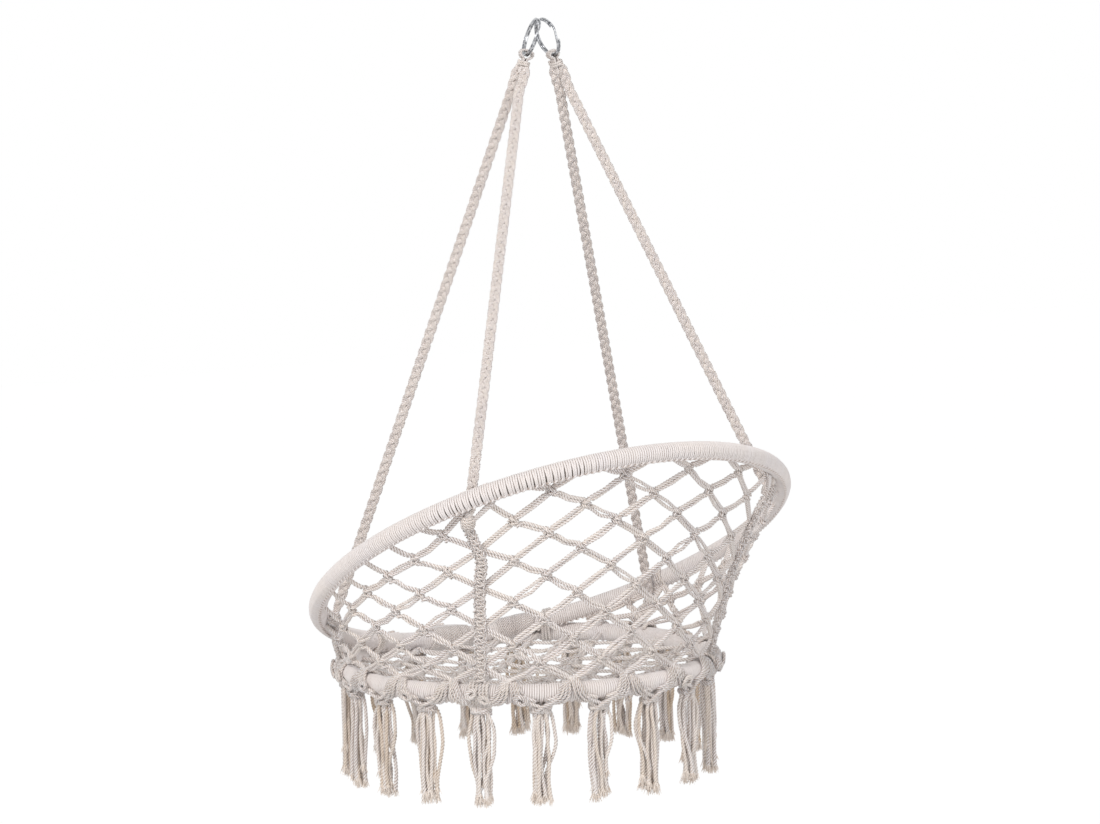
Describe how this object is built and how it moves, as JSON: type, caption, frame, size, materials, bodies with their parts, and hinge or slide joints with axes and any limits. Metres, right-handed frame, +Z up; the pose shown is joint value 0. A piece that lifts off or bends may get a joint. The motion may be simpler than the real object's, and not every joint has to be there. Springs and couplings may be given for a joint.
{
  "type": "hammock chair",
  "caption": "Hanging macrame chair: a tilted upper hoop and a level seat hoop joined by knotted cord net, on plaited ropes and split rings, with a tassel fringe.",
  "frame": {"origin": "the point of the hook that both rings bear on, straight above the chair's centre of mass", "axes": "+Z up, -Y towards the open front of the seat, +X to the sitter's left"},
  "size_m": [0.785, 0.7217, 1.1965],
  "materials": {
    "cotton_cord": "natural undyed twisted cotton cord",
    "ring_steel": "bright plated steel wire",
    "hoop_tube": "plain steel tube under the cord"
  },
  "bodies": {
    "rings": {"ring_left": "ring_steel", "ring_right": "ring_steel"},
    "chair": {"loop_left": "cotton_cord", "loop_right": "cotton_cord", "whipping_left": "cotton_cord", "whipping_right": "cotton_cord", "rope_front_left": "cotton_cord", "rope_rear_left": "cotton_cord", "rope_front_right": "cotton_cord", "rope_rear_right": "cotton_cord", "rope_knot_front_left": "cotton_cord", "rope_knot_rear_left": "cotton_cord", "rope_knot_front_right": "cotton_cord", "rope_knot_rear_right": "cotton_cord", "stay_front_left": "cotton_cord", "stay_rear_left": "cotton_cord", "stay_front_right": "cotton_cord", "stay_rear_right": "cotton_cord", "upper_hoop_tube": "hoop_tube", "upper_hoop_sleeve": "hoop_tube", "upper_hoop_wrap": "cotton_cord", "seat_hoop_tube": "hoop_tube", "seat_hoop_sleeve": "hoop_tube", "seat_hoop_wrap": "cotton_cord", "lashing_left": "cotton_cord", "lashing_right": "cotton_cord", "net_left": "cotton_cord", "net_rear": "cotton_cord", "net_right": "cotton_cord", "net_front_left": "cotton_cord", "net_front_right": "cotton_cord", "seat_net": "cotton_cord", "tassel_01": "cotton_cord", "tassel_02": "cotton_cord", "tassel_03": "cotton_cord", "tassel_04": "cotton_cord", "tassel_05": "cotton_cord", "tassel_06": "cotton_cord", "tassel_07": "cotton_cord", "tassel_08": "cotton_cord", "tassel_09": "cotton_cord", "tassel_10": "cotton_cord", "tassel_11": "cotton_cord", "tassel_12": "cotton_cord", "tassel_13": "cotton_cord", "tassel_14": "cotton_cord", "tassel_15": "cotton_cord", "tassel_16": "cotton_cord", "tassel_17": "cotton_cord", "tassel_18": "cotton_cord", "tassel_19": "cotton_cord", "tassel_20": "cotton_cord"}
  },
  "joints": [
    {"name": "swing", "type": "hinge", "parent": "rings", "child": "chair", "pos_m": [0, 0, -0.0258], "axis": [1, 0, 0], "range_deg": [-20, 20]}
  ]
}
